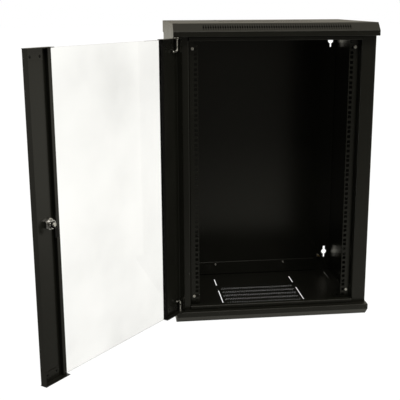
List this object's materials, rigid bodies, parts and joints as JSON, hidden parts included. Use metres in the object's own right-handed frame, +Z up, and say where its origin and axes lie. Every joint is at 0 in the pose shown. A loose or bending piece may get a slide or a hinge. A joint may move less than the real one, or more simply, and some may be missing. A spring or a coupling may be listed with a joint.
{
  "type": "rack cabinet",
  "caption": "Wall-mounted rack cabinet of folded black sheet steel, with square-hole rack rails and a glazed front door on sprung hinge pins that a cam lock holds shut.",
  "frame": {"origin": "middle of the body's underside, half-way across its width and its depth", "axes": "+X to the right seen from the front, +Y from the front to the back, +Z up"},
  "size_m": [0.9735, 0.8992, 0.901],
  "materials": {
    "black_powder_coat": "semi-gloss black powder coat with a fine orange-peel texture",
    "black_zinc": "black zinc plating",
    "bright_zinc": "bright zinc plating",
    "spring_steel": "drawn wire",
    "brass": "plain turned brass",
    "chrome": "polished chrome plating",
    "clear_glass": "clear toughened glass with ground edges",
    "black_rubber": "soft matt extrusion"
  },
  "bodies": {
    "cabinet": {"bottom_tray": "black_powder_coat", "top_cover": "black_powder_coat", "right_side_panel": "black_powder_coat", "left_side_panel": "black_powder_coat", "right_front_post": "black_powder_coat", "left_front_post": "black_powder_coat", "lower_door_stop": "black_powder_coat", "upper_door_stop": "black_powder_coat", "rear_panel": "black_powder_coat", "cable_entry_cover": "black_powder_coat", "right_rack_rail": "black_powder_coat", "left_rack_rail": "black_powder_coat", "right_lower_rail_foot": "black_powder_coat", "left_lower_rail_foot": "black_powder_coat", "right_upper_rail_foot": "black_powder_coat", "left_upper_rail_foot": "black_powder_coat", "side_panel_screws": "black_zinc", "rear_panel_screws": "black_zinc", "rail_foot_screws": "black_zinc", "post_screws": "bright_zinc", "post_nuts": "bright_zinc", "cable_cover_screws": "bright_zinc", "earth_nut": "bright_zinc", "rail_screws": "bright_zinc", "rail_nuts": "bright_zinc", "lower_hinge_bush": "bright_zinc", "upper_hinge_bush": "bright_zinc", "earth_stud": "brass"},
    "upper_pin": {"upper_hinge_pin": "bright_zinc", "upper_pin_collar": "bright_zinc"},
    "lower_pin": {"lower_hinge_pin": "bright_zinc", "lower_pin_collar": "bright_zinc"},
    "lock": {"lock_plug": "chrome", "lock_cam": "black_zinc", "cam_screw": "bright_zinc"},
    "door": {"hinge_stile": "black_powder_coat", "lock_stile": "black_powder_coat", "hinge_stile_bottom_plate": "black_powder_coat", "hinge_stile_top_plate": "black_powder_coat", "lock_stile_bottom_plate": "black_powder_coat", "lock_stile_top_plate": "black_powder_coat", "hinge_glazing_channel": "black_rubber", "lock_glazing_channel": "black_powder_coat", "hinge_glass_gasket": "black_rubber", "lock_glass_gasket": "black_rubber", "door_rivets": "black_zinc", "glass_pane": "clear_glass", "lower_pin_guide": "black_powder_coat", "upper_pin_guide": "black_powder_coat", "lower_pin_spring": "spring_steel", "upper_pin_spring": "spring_steel", "lock_housing": "chrome", "lock_nut": "chrome"}
  },
  "joints": [
    {"name": "door_hinge", "type": "hinge", "parent": "cabinet", "child": "door", "pos_m": [-0.2895, -0.216, 0.4505], "axis": [0, 0, 1], "range_deg": [-50, 130]},
    {"name": "upper_pin_slide", "type": "slide", "parent": "door", "child": "upper_pin", "axis": [0, 0, -1], "range_m": [0, 0.011], "stiffness_N_per_m": 400, "springref_m": -0.008, "deforming": ["upper_pin_spring"]},
    {"name": "lower_pin_slide", "type": "slide", "parent": "door", "child": "lower_pin", "axis": [0, 0, 1], "range_m": [0, 0.011], "stiffness_N_per_m": 400, "springref_m": -0.008, "deforming": ["lower_pin_spring"]},
    {"name": "lock_turn", "type": "hinge", "parent": "door", "child": "lock", "pos_m": [-0.63307, -0.62545, 0.444], "axis": [-0.766, 0.6428, 0], "range_deg": [0, 90]}
  ]
}
